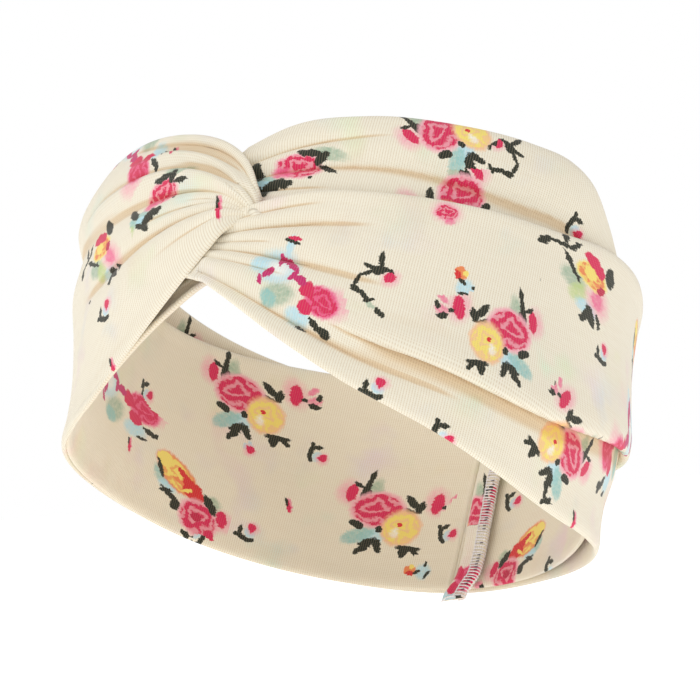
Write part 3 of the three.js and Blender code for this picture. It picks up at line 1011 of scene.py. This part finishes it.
def paint_motif(n, colour, point, strokes, column, blots):
    """Mix the blots of one motif over the ground colour."""
    k = 0
    while k < len(blots):
        inks = blots[k][0].split()
        x, y, half_x, half_y, turn = blots[k][1:]
        disc = n.disc(point, x + column * CELL, y, half_x, half_y, turn)
        reach = n.length(disc)
        k += 1
        if inks[0] == "bloom":
            values = {"Vector": disc, "Scale": 0.5, "Distortion": 13.0, "Detail": 3.0, "Detail Scale": 1.7}
            petals = n.add("TexWave", values, output=1, wave_type="RINGS", rings_direction="Z")
            petals = n.ramp(petals, 0.45, 1.0, 0.0, 0.72)
            ink = n.mix(petals, srgb(INK[inks[1]]), srgb(INK[inks[2]]))
            haze = n.ramp(reach, 1.25, 0.95)
            colour = n.mix(haze, colour, srgb(INK[inks[2]]))
            colour = n.mix(n.ramp(reach, 1.0, 0.88), colour, ink)
            point = n.after(colour, point)
            continue
        # neighbouring blots of one ink are one shape
        while k < len(blots) and blots[k][0] == inks[0]:
            x, y, half_x, half_y, turn = blots[k][1:]
            other = n.length(n.disc(point, x + column * CELL, y, half_x, half_y, turn))
            reach = n.maths("MINIMUM", reach, other)
            k += 1
        soft = SOFT.get(inks[0], 0.1)
        mask = n.ramp(reach, 1 + soft, 1 - soft)
        if soft > 0.2:
            mask = n.maths("MULTIPLY", mask, n.linear(strokes, 0.3, 0.7, 0.55, 1.0))
        colour = n.mix(mask, colour, srgb(INK[inks[0]]))
        point = n.after(colour, point)
    return colour


def printed_jersey():
    n = Nodes("printed_jersey")
    n.tree.nodes.remove(n.shader)
    cloth = n.add("UVMap", {}, uv_map="cloth")
    where = n.add("TexCoord", {}, output=3)
    # how much painted shade falls at each point
    painted_shade = n.add("Attribute", {}, output=2, attribute_name="painted_shade")
    # knit: wales across the strip, broken up by the courses
    u = n.add("SeparateXYZ", {"Vector": cloth})
    v = u.node.outputs[1]
    wander = n.maths("MULTIPLY", n.noise(where, 60.0, 2.0), 3.0)
    wale = n.maths("SINE", n.maths("ADD", n.maths("MULTIPLY", u, 2 * math.pi / WALE), wander))
    lean = n.maths("MULTIPLY", wale, 0.8)
    course = n.maths("SINE", n.maths("ADD", n.maths("MULTIPLY", v, 2 * math.pi / COURSE), lean))
    gap = n.ramp(wale, 0.1, 0.95)
    gap = n.maths("MULTIPLY", gap, n.linear(course, -1, 1, 0.15, 1.0))
    bump = n.add("Bump", {"Height": n.maths("MULTIPLY", gap, -1.0), "Strength": 0.4, "Distance": 0.0002})
    # ground cloth, with the print of the ply behind showing through as soft stains
    stain = n.noise(where, 62.0, 2.0)
    tint = n.noise(where, 40.0, 1.0, output=1)
    values = {"Hue": 0.5, "Saturation": 1.3, "Value": 1.35, "Fac": 1.0, "Color": tint}
    ground = n.mix(n.ramp(stain, 0.5, 0.74, 0.0, 0.24), CREAM, n.add("HueSaturation", values))
    # the yarn is a little uneven along its length
    uneven = n.noise(n.add("VectorMath", {0: cloth, 1: (90.0, 1500.0, 1.0)}, operation="MULTIPLY"), 1.0, 3.0)
    ground = n.mix(n.linear(uneven, 0.35, 0.75, 0.0, 0.22), ground, UNEVEN_YARN)
    ground = n.mix(n.maths("MULTIPLY", gap, 0.62), ground, BETWEEN_STITCHES)
    # each motif has its own shader, so that only one is worked out at any spot
    uv = n.add("UVMap", {}, uv_map="print")
    flat = n.add("VectorMath", {0: uv, 3: 1000.0}, operation="SCALE")
    column = n.maths("ROUND", n.maths("MULTIPLY", n.add("SeparateXYZ", {"Vector": flat}), 1 / CELL))
    point = ragged(n, flat)
    strokes = n.noise(point, 1.1, 3.0)
    surface = None
    for k, blots in enumerate(MOTIFS.values()):
        colour = paint_motif(n, ground, point, strokes, k, blots)
        colour = n.mix(n.maths("MULTIPLY", gap, 0.2), colour, BETWEEN_STITCHES_IN_PRINT)
        # painted shade: creases and the side facing the head are darkened towards a warm tan
        colour = n.shade(n.maths("MULTIPLY", painted_shade, PAINTED_SHADE_STRENGTH), colour, PAINTED_SHADE_COLOUR)
        values = {
            "Base Color": colour,
            "Roughness": 0.88,
            "Specular IOR Level": 0.25,
            "Sheen Weight": 0.25,
            "Sheen Roughness": 0.5,
            "Normal": bump,
        }
        shader = n.add("BsdfPrincipled", values)
        if surface is None:
            surface = shader
        else:
            here = n.add("Math", {0: column, 1: float(k), 2: 0.25}, operation="COMPARE")
            surface = n.add("MixShader", {0: here, 1: surface, 2: shader})
    n.set(n.tree.nodes["Material Output"].inputs["Surface"], surface)
    return n.material


jersey = printed_jersey()
for strip in (right, left, flap):
    strip.data.materials.append(jersey)


def spun_thread(name, colour):
    n = Nodes(name)
    where = n.add("TexCoord", {}, output=3)
    twist = n.ramp(n.noise(where, 2400.0, 1.0), 0.3, 0.7)
    n.set(n.shader.inputs["Base Color"], n.mix(twist, srgb([0.88 * c for c in colour]), srgb(colour)))
    n.shader.inputs["Roughness"].default_value = 0.6
    n.shader.inputs["Sheen Weight"].default_value = 0.3
    return n.material


white_thread.data.materials.append(spun_thread("overlock_thread", (252, 246, 246)))
dark_thread.data.materials.append(spun_thread("overlock_dark_thread", (62, 48, 64)))

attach(right, "band")
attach(left, "band")
for piece in (flap, white_thread, dark_thread):
    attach(piece, "seam_flap")
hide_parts("seam_allowance")
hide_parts("overlock_thread")
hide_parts("right_strip_outer_leg", "right_strip_inner_leg", "right_strip_knot_bight")
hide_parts("left_strip_outer_leg", "left_strip_inner_leg", "left_strip_knot_bight")


# ---------------------------------------------------------------- stage
def look_from(azimuth, elevation, roll, distance):
    a, e = math.radians(azimuth), math.radians(elevation)
    back = Vector((math.sin(a) * math.cos(e), -math.cos(a) * math.cos(e), math.sin(e)))
    right_hand = Vector((math.cos(a), math.sin(a), 0))
    up = back.cross(right_hand)
    r = math.radians(roll)
    camera_right = right_hand * math.cos(r) - up * math.sin(r)
    camera_up = up * math.cos(r) + right_hand * math.sin(r)
    m = Matrix((camera_right, camera_up, back)).transposed().to_4x4()
    m.translation = back * distance
    return m


camera = bpy.data.objects.new("camera", bpy.data.cameras.new("camera"))
bpy.context.scene.collection.objects.link(camera)
camera.matrix_world = look_from(36.2, -2.0, 4.1, 0.758)
camera.data.lens = 122.6
camera.data.sensor_width = 36
camera.data.shift_x = -0.0075
camera.data.shift_y = 0.049
camera.data.clip_start = 0.01
bpy.context.scene.camera = camera

floor_mesh = bpy.data.meshes.new("floor")
floor_mesh.from_pydata([(-3, -3, 0), (3, -3, 0), (3, 3, 0), (-3, 3, 0)], [], [(0, 1, 2, 3)])
floor = bpy.data.objects.new("floor", floor_mesh)
floor.location.z = -0.082
bpy.context.scene.collection.objects.link(floor)
white = bpy.data.materials.new("floor_white")
white.use_nodes = True
white.node_tree.nodes["Principled BSDF"].inputs["Base Color"].default_value = (0.9, 0.9, 0.9, 1)
white.node_tree.nodes["Principled BSDF"].inputs["Roughness"].default_value = 0.9
white.node_tree.nodes["Principled BSDF"].inputs["Emission Color"].default_value = (1, 1, 1, 1)
white.node_tree.nodes["Principled BSDF"].inputs["Emission Strength"].default_value = 0.6
floor_mesh.materials.append(white)

world = bpy.data.worlds.new("studio")
bpy.context.scene.world = world
bpy.context.scene.view_settings.view_transform = "Standard"
world.use_nodes = True
world.node_tree.nodes["Background"].inputs["Color"].default_value = (1, 1, 1, 1)
glow = world.node_tree.nodes.new("ShaderNodeMapRange")
path = world.node_tree.nodes.new("ShaderNodeLightPath")
glow.inputs["To Min"].default_value = 0.56
glow.inputs["To Max"].default_value = 1.0
world.node_tree.links.new(path.outputs["Is Camera Ray"], glow.inputs["Value"])
world.node_tree.links.new(glow.outputs["Result"], world.node_tree.nodes["Background"].inputs["Strength"])


def softbox(name, where, size, power):
    lamp = bpy.data.objects.new(name, bpy.data.lights.new(name, "AREA"))
    lamp.data.size = size
    lamp.data.energy = power
    lamp.location = where
    lamp.rotation_euler = (-Vector(where)).to_track_quat("-Z", "Y").to_euler()
    bpy.context.scene.collection.objects.link(lamp)


softbox("key", (-0.6, -0.8, 1.1), 0.7, 6.2)
softbox("fill", (1.1, -0.6, 0.5), 0.9, 2.6)

bpy.context.view_layer.update()
